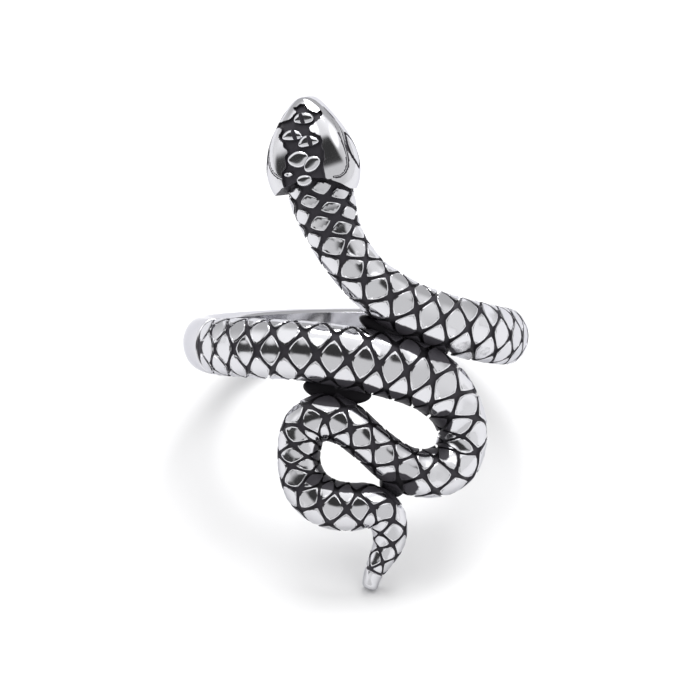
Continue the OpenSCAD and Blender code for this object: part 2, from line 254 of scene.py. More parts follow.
# Points behind the head that close its outline
BEHIND_HEAD = [(-1.0, 3.0), (-1.0, -3.0)]
# From this far to the right the step is bare steel, and a groove runs along its foot
BARE_FROM = 1.2
STEP_GROOVE_R = 0.15
# Shallow lines on the head, from points of the same kind: their cutter's radius, and its depth
BROWS = [
    [
        (5.89, 1.27), (5.33, 1.64), (4.59, 1.98), (3.69, 2.15), (2.92, 2.25),
        (2.23, 2.23), (1.75, 2.07), (1.46, 1.76), (1.49, 1.40),
    ],
    [
        (5.92, -1.01), (5.20, -1.75), (4.31, -2.11), (3.40, -2.28),
        (2.70, -2.20), (2.26, -2.03), (1.91, -1.73), (1.75, -1.49),
    ],
]
BROW_R = 0.35
BROW_DEPTH = 0.02
# The eyes: middle ahead of the head's back, height above the finger, length, breadth; then the
# engraved line round them: points, radius, how far its middle is sunk, how clean it is
EYE_AHEAD, EYE_RISE, EYE_LONG, EYE_BROAD = 2.95, 2.25, 2.3, 1.05
EYE_POINTS, EYE_LINE_R, EYE_LINE_SUNK, EYE_LINE_CLEAN = 16, 0.08, 0.01, 0.3

# Metal cast between branches: turn, height, length, breadth, slant, rise above the finger
WEBS = [
    (-6.2, -2.40, 5.00, 1.80, -7, 1.10),
    (15.0, -8.40, 1.90, 1.70, -35, 1.20),
    (17.0, 1.00, 6.20, 1.50, -25, 1.30),
]
# Sides of a web, its depth below the finger's surface, the part of its rise that goes straight up
# and the step inwards over the rest
WEB_SIDES, WEB_ROOT, WEB_STRAIGHT, WEB_EDGE = 16, 0.5, 0.75, 0.2

# Blackening and painted shade reach this far from another part of the snake, counted from this far
# along it; how fast they grow with nearness, and the most that they come to
CREVICE_REACH = 0.60
OTHER_PART = 6.0
CREVICE_GROWTH, CREVICE_MOST = 1.3, 1.2
# Places darkened by blackening and painted shade: turn, height, length, breadth, slant, strength
BLACKENED_AND_SHADED = [
    (12.5, -3.05, 4.60, 1.30, -15, 1.10),
    (40.0, 0.00, 4.60, 1.40, -10, 0.44),
    (-6.0, -2.40, 5.40, 1.55, -5, 1.2),
    (15.0, -8.40, 2.10, 1.50, -35, 1.2),
    (17.0, 1.00, 6.60, 1.20, -25, 1.2),
    (-1.0, -8.05, 4.80, 1.20, -4, 1.1),
    (30.5, -5.20, 1.20, 2.80, 0, 1.1),
]
# Walls of the two holes in the curls, oxide and painted shade up to this rise above the finger
HOLE_WALLS = [
    (17.3, -4.75, 5.90, 3.50, -28, 1.0),
    (-1.0, -7.00, 5.00, 2.90, -28, 1.0),
]
BLACK_RISE = 2.1
# Such a place ends at this many times its size, and its border is this steep
BLACK_END, BLACK_STEEPNESS = 1.3, 3
# The webs' mark of cleanness, below 0 so that they take the deepest black, which is painted shade
# where the branches meet as well as oxide
DEEPEST_SHADE = -1

# Cutters are larger than the ring. The finger has this many sides, and what lies this close to it
# is the wall of its hole.
CUTTER = 60.0
FINGER_SIDES = 256
BORE_SKIN = 0.01
# Edges sharper than this stay sharp to the eye
SHADING_ANGLE = math.radians(40)

# The photograph's camera: distance, height above the floor and framing of a 700 pixel picture
CAMERA_FAR = 280.0
CAMERA_UP = math.radians(41)
PIXELS = 700
PIXELS_PER_MM = 15.27
RING_MIDDLE_PX = (353.5, 341.0)
SENSOR = 36.0


def add_camera():
    """The camera looks at the middle of the finger hole from in front and above."""
    lens = SENSOR * PIXELS_PER_MM * CAMERA_FAR / PIXELS
    toward = Vector((0, -math.cos(CAMERA_UP), math.sin(CAMERA_UP)))
    bpy.ops.object.camera_add(
        location=(REST_PLACE + CAMERA_FAR * toward) * MM,
        rotation=(math.pi / 2 - CAMERA_UP, 0, 0),
    )
    camera = bpy.context.object
    camera.data.lens = lens
    camera.data.sensor_width = SENSOR
    camera.data.shift_x = (PIXELS / 2 - RING_MIDDLE_PX[0]) / PIXELS
    camera.data.shift_y = (RING_MIDDLE_PX[1] - PIXELS / 2) / PIXELS
    camera.data.clip_start = 0.01
    bpy.context.scene.camera = camera


# Working by hand: a piece or some of its faces, edges or points are picked, then an operator acts

def pick(piece):
    bpy.ops.object.select_all(action="DESELECT")
    piece.select_set(True)
    bpy.context.view_layer.objects.active = piece


@contextmanager
def editing(piece, kind="FACE"):
    """Edit mode on one piece, with nothing picked yet."""
    pick(piece)
    bpy.ops.object.mode_set(mode="EDIT")
    bpy.ops.mesh.select_mode(type=kind)
    bpy.ops.mesh.select_all(action="DESELECT")
    yield bmesh.from_edit_mesh(piece.data)
    bpy.ops.object.mode_set(mode="OBJECT")


def pick_where(parts, rule):
    for part in parts:
        part.select = bool(rule(part))


def pick_all():
    bpy.ops.mesh.select_all(action="SELECT")


def extrude(x, y, z):
    bpy.ops.mesh.extrude_region_move(TRANSFORM_OT_translate={"value": (x, y, z)})


def face_outwards():
    """Turns every face of a closed piece outwards."""
    pick_all()
    bpy.ops.mesh.normals_make_consistent(inside=False)


def place(piece, move=(0, 0, 0), turn=(0, 0, 0), size=(1, 1, 1)):
    """Moves a piece and puts its place into its mesh."""
    pick(piece)
    piece.location, piece.rotation_euler, piece.scale = move, turn, size
    bpy.ops.object.transform_apply()


def finish_with(piece, kind, **settings):
    """Adds one modifier and applies it."""
    pick(piece)
    modifier = piece.modifiers.new(kind, kind)
    for name, value in settings.items():
        setattr(modifier, name, value)
    bpy.ops.object.modifier_apply(modifier=modifier.name)


def smooth(piece, levels=1):
    finish_with(piece, "SUBSURF", levels=levels, render_levels=levels)


def combine(piece, other, operation):
    finish_with(piece, "BOOLEAN", object=other, operation=operation, solver="MANIFOLD")
    bpy.data.objects.remove(other)


def new_piece(name):
    """The primitive that was just added, with its place in its mesh and a plain name."""
    piece = bpy.context.object
    piece.name = name
    bpy.ops.object.transform_apply()
    return piece


def new_object(name, data):
    made = bpy.data.objects.new(name, data)
    bpy.context.collection.objects.link(made)
    return made


def copy_of(piece):
    """A copy with its own mesh."""
    twin = piece.copy()
    twin.data = piece.data.copy()
    bpy.context.collection.objects.link(twin)
    return twin


# The snake's line, laid flat: along the finger's unrolled surface and up it

def section(t):
    """The table's row at place t, by a smooth curve through the rows."""
    last = len(SNAKE) - 1
    i = min(int(t), last - 1)
    f = t - i
    a, b, c, d = (SNAKE[max(0, min(last, i + k))] for k in (-1, 0, 1, 2))
    return b + 0.5 * f * ((c - a) + f * ((2 * a - 5 * b + 4 * c - d) + f * (3 * (b - c) + d - a)))


def flat_place(row):
    return Vector((math.radians(row[TURN]) * PATH_R, row[HEIGHT], 0))


# Steps between two rows of the table, of which every eighth is enough to measure gaps
STEPS_A_ROW = 40
GAP_STEP = 8
STEPS = np.arange((len(SNAKE) - 1) * STEPS_A_ROW + 1) / STEPS_A_ROW
FINE_ROWS = np.array([section(t) for t in STEPS])
STRIDES = [(flat_place(b) - flat_place(a)).length for a, b in zip(FINE_ROWS, FINE_ROWS[1:])]
LENGTHS = np.concatenate([[0], np.cumsum(STRIDES)])
PITCHES = (FINE_ROWS[1:, PITCH] + FINE_ROWS[:-1, PITCH]) / 2
COUNTS = np.concatenate([[0], np.cumsum(STRIDES / PITCHES)])


def length_at(t):
    return float(np.interp(t, STEPS, LENGTHS))


def length_after(count):
    """Length along the snake after a number of scales, even before its start or past its end."""
    before, past = min(0, count), max(0, count - COUNTS[-1])
    return float(np.interp(count, COUNTS, LENGTHS)) + before * PITCHES[0] + past * PITCHES[-1]


def count_at(t):
    return float(np.interp(t, STEPS, COUNTS))


def draw_path():
    """A flat curve through the table's places, with the handles of a smooth spline."""
    curve = bpy.data.curves.new("snake_line", "CURVE")
    curve.dimensions = "2D"
    curve.resolution_u = 24
    spline = curve.splines.new("BEZIER")
    spline.bezier_points.add(len(SNAKE) - 1)
    places = [flat_place(row) for row in SNAKE]
    for i, point in enumerate(spline.bezier_points):
        way = (places[min(i + 1, len(places) - 1)] - places[max(i - 1, 0)]) / 6
        point.handle_left_type = point.handle_right_type = "FREE"
        point.co = places[i]
        point.handle_left = places[i] - way
        point.handle_right = places[i] + way
    return new_object("snake_line", curve)


CAGE_POINTS = 64


def draw_cage():
    """A lattice round the straight snake that gives each section its width and thickness."""
    lattice = bpy.data.lattices.new("sections")
    lattice.points_u, lattice.points_v, lattice.points_w = CAGE_POINTS, 2, 3
    lattice.interpolation_type_u = "KEY_CATMULL_ROM"
    lattice.interpolation_type_v = lattice.interpolation_type_w = "KEY_LINEAR"
    cage = new_object("sections", lattice)
    cage.location = (LENGTHS[-1] / 2, 0, 0)
    cage.scale = (LENGTHS[-1] / (CAGE_POINTS - 1), 2 * ROLL_R, 2 * ROLL_R)
    for point in lattice.points:
        x, y, z = point.co
        along = (x / (CAGE_POINTS - 1) + 0.5) * LENGTHS[-1]
        row = section(np.interp(along, LENGTHS, STEPS))
        waist = WAIST * row[THICK]
        reach = row[THICK] - waist if z > 0 else waist + BELLY_DEPTH
        point.co_deform = (
            x,
            y * row[WIDTH] / 2 / ROLL_R,
            z * reach / ROLL_R + waist / (2 * ROLL_R),
        )
    bpy.context.view_layer.update()
    return cage


def wrap_on_finger(piece):
    """Bends a flat piece round the finger. Its height over the flat becomes its rise above it."""
    place(piece, move=(0, 0, BORE_R - PATH_R))
    place(piece, turn=(math.pi / 2, 0, 0))
    xs = [v.co.x for v in piece.data.vertices]
    turn = (max(xs) - min(xs)) / PATH_R
    finish_with(piece, "SIMPLE_DEFORM", deform_method="BEND", deform_axis="Z", angle=turn)
    place(piece, move=(0, -PATH_R, 0))


def follow_snake(piece, path):
    """Lays a straight stretch along the snake's line and wraps it."""
    finish_with(piece, "CURVE", object=path, deform_axis="POS_X")
    wrap_on_finger(piece)


# The scaled stretches of the body

def crossing(a, b):
    """Where groove a of one family crosses groove b of the other: scales along, and angle round."""
    count, around = (a + b) / 2, (a - b) / 2
    neck = min(1, max(0, 1 - count / NECK_SCALES)) ** NECK_FADE
    breadth = SCALE_BREADTH * (1 - (1 - NECK_BREADTH) * neck)
    return count, (around - NECK_SHIFT * neck) * breadth


def lay_scales(name, start, end):
    """A flat sheet with a face for each scale, along X, with the body's back along its middle."""
    low = math.floor(count_at(start)) - SPARE_SCALES
    high = math.ceil(count_at(end)) + SPARE_SCALES
    middle, scales = (low + high) / 2, high - low
    bpy.ops.mesh.primitive_grid_add(
        x_subdivisions=scales, y_subdivisions=scales, size=scales, location=(middle, middle, 0),
    )
    sheet = new_piece(name)
    with editing(sheet, "VERT") as mesh:
        pick_where(mesh.verts, lambda v: abs(v.co.x - v.co.y) > SCALES_ACROSS)
        mesh.select_flush(True)
        bpy.ops.mesh.delete(type="VERT")
    ends = length_at(start), length_at(end)
    hand = random.Random(CARVER)
    for v in sheet.data.vertices:
        count, angle = crossing(v.co.x, v.co.y)
        along = length_after(count + FIRST_SCALE[name])
        along += hand.uniform(-CARVED_ASTRAY, CARVED_ASTRAY)
        across = angle * ROLL_R + hand.uniform(-CARVED_ASTRAY, CARVED_ASTRAY)
        for end in ends:
            along = end if abs(along - end) < BORDER_REACH else along
        if abs(abs(across) - SHEET_EDGE) < BORDER_REACH:
            across = math.copysign(SHEET_EDGE, across)
        v.co = (along, across, 0)
    borders = [
        ((ends[0], 0, 0), (-1, 0, 0)),
        ((ends[1], 0, 0), (1, 0, 0)),
        ((0, SHEET_EDGE, 0), (0, 1, 0)),
        ((0, -SHEET_EDGE, 0), (0, -1, 0)),
    ]
    with editing(sheet):
        for point, outward in borders:
            pick_all()
            bpy.ops.mesh.bisect(
                plane_co=point, plane_no=outward, clear_outer=True, threshold=TOUCHING,
            )
        pick_all()
        bpy.ops.mesh.remove_doubles(threshold=JOINED)
        bpy.ops.mesh.flip_normals()
    return sheet


def raise_scales(sheet):
    """Insets every face: a groove's floor, its slope, then the scale's rounded rim."""
    with editing(sheet) as mesh:
        pick_where(mesh.faces, lambda f: f.calc_center_median().x < length_at(NECK_GAP_TO))
        bpy.ops.mesh.inset(thickness=NECK_GAP, use_individual=True)
        bpy.ops.transform.edge_crease(value=1)
        pick_where(mesh.faces, lambda f: 2 * f.calc_area() / f.calc_perimeter() > SMALLEST_SCALE)
        for inwards, upwards in SCALE_STEPS:
            bpy.ops.mesh.inset(thickness=inwards, depth=upwards, use_individual=True)
            bpy.ops.transform.edge_crease(value=1)
            bpy.ops.transform.vert_crease(value=CORNER_SHARPNESS)


def add_flanks(sheet):
    """Widens a flat sheet by a plain flank along both its long edges."""
    for way in (1, -1):
        edge = way * SHEET_EDGE
        with editing(sheet, "EDGE") as mesh:
            pick_where(mesh.edges, lambda e: all(abs(v.co.y - edge) < NEAR for v in e.verts))
            bpy.ops.mesh.extrude_edges_move(
                TRANSFORM_OT_translate={"value": (0, way * FLANK_BREADTH * ROLL_R, 0)}
            )


def mark_clean(piece, value):
    """Stores how free of blackening and painted shade each point of a piece is: 0 is black and 1 is
    bare steel.
    """
    marks = piece.data.attributes
    mark = marks.get("clean") or marks.new("clean", "FLOAT", "POINT")
    mark.data.foreach_set("value", np.array([value(v) for v in piece.data.vertices], np.float32))


def mark_bare_where(piece, rule):
    """Marks as bare steel the points where a rule holds."""
    marks = piece.data.attributes["clean"].data
    for v in piece.data.vertices:
        if rule(v.co):
            marks[v.index].value = 1


def roll_up(sheet):
    """Rolls a flat sheet into a tube along X, back upwards, and closes its belly and ends."""
    place(sheet, turn=(math.pi / 2, 0, 0))
    zs = [v.co.z for v in sheet.data.vertices]
    turn = (max(zs) - min(zs)) / ROLL_R
    finish_with(sheet, "SIMPLE_DEFORM", deform_method="BEND", deform_axis="X", angle=turn)
    place(sheet, move=(0, -ROLL_R, 0))
    place(sheet, turn=(-math.pi / 2, 0, 0))
    with editing(sheet, "EDGE") as mesh:
        ends = [pick_end(v.co.x for v in mesh.verts) for pick_end in (min, max)]
        pick_where(mesh.edges, lambda e: e.is_boundary and not any(
            all(abs(v.co.x - end) < TOUCHING for v in e.verts) for end in ends))
        bpy.ops.mesh.bridge_edge_loops()
        pick_all()
        bpy.ops.mesh.fill_holes(sides=0)
        face_outwards()


def wear(along):
    """How far wear near the plain shank has cleared the upper parts of the grooves."""
    far = min(abs(along - length_at(t)) for t in SHANK)
    return WORN * max(0, 1 - far / WORN_LENGTH)


def make_scaled_body(cage, path):
    """The neck with the upper branch, and the coils, parted where no stretch meets itself."""
    stretches = []
    for name, (start, end) in SCALED.items():
        sheet = lay_scales(name, start, end)
        raise_scales(sheet)
        add_flanks(sheet)
        place(sheet, move=(0, 0, -GROOVE_DEPTH))
        smooth(sheet)
        with editing(sheet, "VERT"):
            pick_all()
            bpy.ops.transform.edge_crease(value=-1)
            bpy.ops.transform.vert_crease(value=CORNER_ROUNDING)
        mark_clean(sheet, lambda v: 1 + v.co.z / GROOVE_DEPTH + wear(v.co.x))
        roll_up(sheet)
        finish_with(sheet, "LATTICE", object=cage)
        smooth(sheet)
        stretches.append(sheet)
    coils = stretches[1]
    tail_coil = copy_of(coils)
    cut = (length_at(PARTED_AT), 0, 0)
    for piece, outward in ((coils, (1, 0, 0)), (tail_coil, (-1, 0, 0))):
        with editing(piece):
            pick_all()
            bpy.ops.mesh.bisect(plane_co=cut, plane_no=outward, clear_outer=True)
            pick_all()
            bpy.ops.mesh.fill_holes(sides=0)
    stretches.append(tail_coil)
    for piece in stretches:
        own = [v.co.x for v in piece.data.vertices]
        follow_snake(piece, path)
        # Oxide and painted shade where the branches lie close
        blacken_and_shade_crevices(piece, own)
    return stretches


def blacken_and_shade_crevices(piece, own):
    """Darkens a stretch with oxide and painted shade beside other parts of the snake, in the holes
    and at the tabled places.

    Its points' own lengths along the snake tell which parts are others.
    """
    rows, lengths = FINE_ROWS[::GAP_STEP], LENGTHS[::GAP_STEP]
    turns = np.radians(rows[:, TURN])
    line = np.stack([PATH_R * np.sin(turns), -PATH_R * np.cos(turns), rows[:, HEIGHT]], 1)
    marks = piece.data.attributes["clean"].data
    for v, along in zip(piece.data.vertices, own):
        radius = math.hypot(v.co.x, v.co.y)
        spread = PATH_R / radius
        far = np.linalg.norm(line - (v.co.x * spread, v.co.y * spread, v.co.z), axis=1)
        gaps = (far - rows[:, WIDTH] / 2)[abs(lengths - along) > OTHER_PART]
        # Painted shade besides oxide, darker the nearer another part of the snake lies
        near = (CREVICE_REACH - gaps.min()) / CREVICE_REACH
        crevice = min(CREVICE_MOST, near * CREVICE_GROWTH)
        # Hole walls low near the finger get oxide and painted shade
        low = min(1, max(0, BLACK_STEEPNESS * (BORE_R + BLACK_RISE - radius)))
        walls = low * black_and_shade_at(v.co, HOLE_WALLS)
        # Blackening and painted shade of the tabled places come off the cleanness
        marks[v.index].value -= max(0, crevice, black_and_shade_at(v.co, BLACKENED_AND_SHADED), walls)


def black_and_shade_at(point, places):
    """How much blackening and painted shade the tabled places lay at a point."""
    along = math.atan2(point.x, -point.y) * PATH_R
    most = 0
    for turn, height, long, broad, slant, strength in places:
        way = Vector((along - math.radians(turn) * PATH_R, point.z - height))
        way.rotate(Matrix.Rotation(math.radians(-slant), 2))
        far = math.hypot(way.x * 2 / long, way.y * 2 / broad)
        most = max(most, strength * min(1, (BLACK_END - far) * BLACK_STEEPNESS))
    return most


# The plain shank and the tip of the tail

def make_plain_stretch(name, start, end, columns, sunk_end):
    """A smooth stretch that sinks below the scales before it, and below those behind it if any."""
    low, high = length_at(start), length_at(end)
    left, right = low - LAP, high + LAP if sunk_end else high
    bpy.ops.mesh.primitive_grid_add(x_subdivisions=columns, y_subdivisions=PLAIN_ROWS, size=1)
    sheet = new_piece(name)
    place(sheet, move=((left + right) / 2, 0, 0), size=(right - left, 2 * SHEET_EDGE, 1))
    borders = [(low, 1), (high, -1)] if sunk_end else [(low, 1)]
    with editing(sheet, "VERT"):
        for x, way in borders:
            for further in np.cumsum([inwards for inwards, _ in SCALE_STEPS]):
                pick_all()
                bpy.ops.mesh.bisect(plane_co=(x + way * further, 0, 0), plane_no=(1, 0, 0))
    with editing(sheet, "VERT") as mesh:
        for x, way in borders:
            pick_where(mesh.verts, lambda v: way * (v.co.x - x) < GROOVE_FLOOR + NEAR)
            bpy.ops.transform.translate(value=(0, 0, -GROOVE_DEPTH - SUNK_BELOW))
            bpy.ops.mesh.select_all(action="DESELECT")
    add_flanks(sheet)
    smooth(sheet)
    mark_clean(sheet, lambda v: 1 + v.co.z / GROOVE_DEPTH)
    roll_up(sheet)
    return sheet


def make_shank(cage, path):
    shank = make_plain_stretch("shank", *SHANK, SHANK_COLUMNS, True)
    finish_with(shank, "LATTICE", object=cage)
    smooth(shank)
    follow_snake(shank, path)
    return shank


def make_tail_tip(cage, path):
    tip = make_plain_stretch("tail_tip", TAIL_TIP, len(SNAKE) - 1, TIP_COLUMNS, False)
    finish_with(tip, "LATTICE", object=cage)
    end = max(v.co.x for v in tip.data.vertices)
    with editing(tip) as mesh:
        pick_where(mesh.faces, lambda f: all(abs(v.co.x - end) < NEAR for v in f.verts))
        for further, size in TIP_STEPS:
            extrude(further, 0, 0)
            bpy.ops.transform.resize(value=(1, size, size))
    smooth(tip)
    follow_snake(tip, path)
    return tip


# The head, modelled flat with its snout along Y, then leaned, placed and wrapped

def crown_at(ahead):
    return float(np.interp(ahead, [h[AHEAD] for h in HEAD], [h[CROWN] for h in HEAD]))


def squarish(value):
    return math.copysign(abs(value) ** HEAD_SQUARENESS, value)


def make_head_form():
    """The back of the head, extruded to the snout in steps that each have their own size."""
    bpy.ops.mesh.primitive_circle_add(
        vertices=HEAD_SIDES, radius=1, fill_type="NGON", rotation=(math.pi / 2, 0, 0),
    )
    head = new_piece("head")
    _, broad, crown = HEAD[0]
    half, high, middle = broad / 2, crown * (1 - WAIST), crown * WAIST
    for v in head.data.vertices:
        v.co = (squarish(v.co.x) * half, 0, squarish(v.co.z) * high + middle)
    with editing(head):
        pick_all()
        for back, front in zip(HEAD, HEAD[1:]):
            extrude(0, front[AHEAD] - back[AHEAD], 0)
            bpy.ops.transform.resize(
                value=(front[BROAD] / back[BROAD], 1, front[CROWN] / back[CROWN]),
                center_override=(0, front[AHEAD], 0),
            )
        face_outwards()
    smooth(head, 3)
    return head


def outline_prism(name, outline, low, high):
    """A solid that stands on an outline of points ahead and to the right."""
    data = bpy.data.meshes.new(name)
    corners = [(right, ahead, low) for ahead, right in outline]
    data.from_pydata(corners, [], [list(range(len(corners)))])
    piece = new_object(name, data)
    with editing(piece):
        pick_all()
        extrude(0, 0, high - low)
        face_outwards()
    return piece


def hollow_crown(head):
    """Carves the star shaped hollow, as deep at its edges as in its middle."""
    under = copy_of(head)
    with editing(under):
        pick_all()
        bpy.ops.transform.shrink_fatten(value=-HOLLOW_DEPTH)
    hollow = outline_prism("hollow", CROWN_HOLLOW, UNDER_CROWN, ABOVE_CROWN)
    with editing(hollow, "EDGE") as mesh:
        pick_where(mesh.edges, lambda e: abs(e.verts[0].co.z - e.verts[1].co.z) > 1)
        bpy.ops.mesh.bevel(offset=HOLLOW_CORNER, segments=3)
    combine(hollow, under, "DIFFERENCE")
    mark_clean(hollow, lambda v: 0)
    combine(head, hollow, "DIFFERENCE")


def set_plates(head):
    """Sets the crown's domed plates in the hollow, each tilted, and some with a crease."""
    for (sink, tilt, outline), crease in zip_longest(PLATES, CREASES):
        middle = sum(ahead for ahead, _ in outline) / len(outline)
        crown = crown_at(middle) - sink
        floor, top = crown - HOLLOW_DEPTH, crown + PLATE_RISE
        plate = outline_prism("plate", outline, crown - PLATE_ROOT, floor)
        with editing(plate) as mesh:
            pick_where(mesh.faces, lambda f: f.normal.z > 0.9)
            bpy.ops.transform.resize(value=(PLATE_GROWTH, PLATE_GROWTH, 1))
            bpy.ops.mesh.inset(thickness=PLATE_TAPER, depth=HOLLOW_DEPTH)
            for inwards, part in PLATE_DOME:
                bpy.ops.mesh.inset(thickness=inwards, depth=part * PLATE_RISE)
            bpy.ops.transform.rotate(
                value=math.radians(tilt), orient_axis="X", center_override=(0, middle, top),
            )
        smooth(plate, 2)
        mark_clean(plate, lambda v: (v.co.z - floor) / (PLATE_BLACK * HOLLOW_DEPTH))
        if crease:
            points = [(right, ahead, top) for ahead, right in crease]
            combine(plate, thick_line("crease", points, False, CREASE_R, 0), "DIFFERENCE")
        combine(head, plate, "UNION")


def step_down_to_neck(head):
    """Takes the head away behind the step, where the neck's scales come up to it."""
    step = outline_prism("step", BACK_STEP + BEHIND_HEAD, -UNDER_CROWN, ABOVE_CROWN)
    mark_clean(step, lambda v: 1)
    combine(head, step, "DIFFERENCE")
    front = max(ahead for ahead, _ in BACK_STEP)
    mark_bare_where(head, lambda co: co.x > BARE_FROM and co.y < front)


def thick_line(name, points, closed, radius, clean):
    """A thin round solid along a smooth line through points."""
    curve = bpy.data.curves.new(name, "CURVE")
    curve.dimensions = "3D"
    curve.bevel_depth = radius
    curve.bevel_resolution = 2
    curve.use_fill_caps = True
    spline = curve.splines.new("NURBS")
    spline.points.add(len(points) - 1)
    for point, co in zip(spline.points, points):
        point.co = (*co, 1)
    spline.use_cyclic_u = closed
    spline.use_endpoint_u = not closed
    spline.order_u = 3
    spline.resolution_u = 6
    pick(new_object(name, curve))
    bpy.ops.object.convert(target="MESH")
    line = bpy.context.object
    with editing(line):
        pick_all()
        bpy.ops.mesh.remove_doubles(threshold=TOUCHING)
        face_outwards()
    mark_clean(line, lambda v: clean)
    return line


def on_skin(head, start, way, sink):
    """Where a straight look from a start point meets the head, pushed inwards a little."""
    _, point, normal, _ = head.ray_cast(Vector(start), Vector(way))
    return point - normal * sink


def make_head():
    head = make_head_form()
    mark_clean(head, lambda v: 1)
    whole = copy_of(head)
    bpy.context.view_layer.update()
    hollow_crown(head)
    step_down_to_neck(head)
    set_plates(head)
    for line in BROWS:
        points = [
            on_skin(whole, (right, ahead, OUTSIDE), (0, 0, -1), BROW_DEPTH - BROW_R)
            for ahead, right in line
        ]
        combine(head, thick_line("brow", points, False, BROW_R, 1), "DIFFERENCE")
    for side in (-1, 1):
        almond = []
        for k in range(EYE_POINTS):
            angle = 2 * math.pi * k / EYE_POINTS
            ahead = EYE_AHEAD + EYE_LONG / 2 * math.cos(angle)
            rise = EYE_RISE + EYE_BROAD / 2 * math.sin(angle) * abs(math.sin(angle))
            start = (side * OUTSIDE, ahead, rise)
            almond.append(on_skin(whole, start, (-side, 0, 0), EYE_LINE_SUNK))
        line = thick_line("eye", almond, True, EYE_LINE_R, EYE_LINE_CLEAN)
        combine(head, line, "DIFFERENCE")
    bpy.data.objects.remove(whole)
    set_at_front(head)
    return head


def set_at_front(piece):
    """Brings a flat piece from the head's own place to the front of the finger."""
    place(piece, turn=(0, 0, HEAD_LEAN))
    place(piece, move=(HEAD_TURN * PATH_R, HEAD_BASE, 0))
    wrap_on_finger(piece)


def make_step_groove():
    """The groove that parts the head from the neck, along the foot of the step."""
    neck = section(0.5)
    waist = WAIST * neck[THICK]
    points = []
    for ahead, right in BACK_STEP[1:-1]:
        part = min(1, abs(right) / (neck[WIDTH] / 2))
        rise = waist + (neck[THICK] - waist) * math.sqrt(1 - part * part)
        points.append((right, ahead - STEP_GROOVE_R, rise))
    groove = thick_line("step_groove", points, False, STEP_GROOVE_R, 0)
    set_at_front(groove)
    return groove


def make_web(turn, height, long, broad, slant, rise):
    """A low pad of cast metal with a rounded edge."""
    bpy.ops.mesh.primitive_circle_add(
        vertices=WEB_SIDES, radius=0.5, fill_type="NGON", location=(0, 0, -WEB_ROOT),
    )
    web = new_piece("web")
    with editing(web):
        pick_all()
        bpy.ops.transform.resize(value=(long, broad, 1))
        extrude(0, 0, WEB_ROOT + WEB_STRAIGHT * rise)
        bpy.ops.mesh.inset(thickness=WEB_EDGE, depth=(1 - WEB_STRAIGHT) * rise)
        face_outwards()
    smooth(web, 2)
    # The web takes the deepest black: painted shade where the branches meet, besides oxide
    mark_clean(web, lambda v: DEEPEST_SHADE)
    place(web, turn=(0, 0, math.radians(slant)), move=(math.radians(turn) * PATH_R, height, 0))
    wrap_on_finger(web)
    return web


def cast_ring():
    """Joins every stretch into one solid, cuts the finger hole, and lays the ring at rest."""
    path, cage = draw_path(), draw_cage()
    ring, *others = make_scaled_body(cage, path)
    others += [make_shank(cage, path), make_tail_tip(cage, path), make_head()]
    others += [make_web(*web) for web in WEBS]
    for other in others:
        combine(ring, other, "UNION")
    combine(ring, make_step_groove(), "DIFFERENCE")
    bpy.ops.mesh.primitive_cylinder_add(vertices=FINGER_SIDES, radius=BORE_R, depth=CUTTER)
    finger = new_piece("finger")
    mark_clean(finger, lambda v: 1)
    combine(ring, finger, "DIFFERENCE")
    mark_bare_where(ring, lambda co: math.hypot(co.x, co.y) < BORE_R + BORE_SKIN)
    place(ring, turn=(-LEAN, 0, 0))
    place(ring, move=REST_PLACE)
    bpy.ops.mesh.primitive_cube_add(size=CUTTER, location=(0, 0, -CUTTER / 2))
    surface = new_piece("surface")
    mark_clean(surface, lambda v: 1)
    combine(ring, surface, "DIFFERENCE")
    for helper in (path, cage):
        bpy.data.objects.remove(helper)
    place(ring, size=(MM, MM, MM))
    ring.name = "ring_casting"
    pick(ring)
    bpy.ops.object.shade_smooth_by_angle(angle=SHADING_ANGLE)
    return ring


# Materials

class Maths:
    """Wraps a shader socket, so that sums on values are written as expressions."""

    def __init__(self, tree, socket):
        self.tree, self.socket = tree, socket

    def node(self, kind, settings=(), output=0, **values):
        """Adds any node, sets it up, and fills its sockets with values or links."""
        made = self.tree.nodes.new(kind)
        for name, value in dict(settings).items():
            setattr(made, name, value)
        for name, value in values.items():
            place_in = made.inputs[int(name[1:]) if name[1:].isdigit() else name.replace("_", " ")]
            if isinstance(value, Maths):
                self.tree.links.new(value.socket, place_in)
            else:
                place_in.default_value = value
        return Maths(self.tree, made.outputs[output])

    def sum(self, operation, other, swapped=False):
        a, b = (other, self) if swapped else (self, other)
        return self.node("ShaderNodeMath", {"operation": operation}, i0=a, i1=b)

    def __add__(self, other):
        return self.sum("ADD", other)

    def __mul__(self, other):
        return self.sum("MULTIPLY", other)

    def __sub__(self, other):
        return self.sum("SUBTRACT", other)

    def __rsub__(self, other):
        return self.sum("SUBTRACT", other, True)

    def mixed(self, first, second, part):
        """The first colour where part is 0 and the second where it is 1."""
        kind = {"data_type": "RGBA"}
        return self.node("ShaderNodeMix", kind, output=2, i0=part, i6=first, i7=second)

    def between(self, low, high):
        """0 below low, 1 above high, smooth in between."""
        return self.node(
            "ShaderNodeMapRange", {"interpolation_type": "SMOOTHSTEP"},
            Value=self, From_Min=low, From_Max=high,
        )

    __radd__, __rmul__ = __add__, __mul__


STEEL = (0.64, 0.64, 0.665, 1)
STEEL_TINT = (0.72, 0.72, 0.75, 1)
# The black of oxide and of painted shade, and a deeper black of painted shade in junctions and webs
BLACK, DEEP_SHADE_BLACK = (0.048, 0.045, 0.053, 1), (0.007, 0.006, 0.008, 1)
# Grains to the metre, and how far they move the border of the blackening
FINE_GRAIN, COARSE_GRAIN = 4500.0, 900.0
FINE_RAGGED, COARSE_RAGGED = 0.12, 0.30
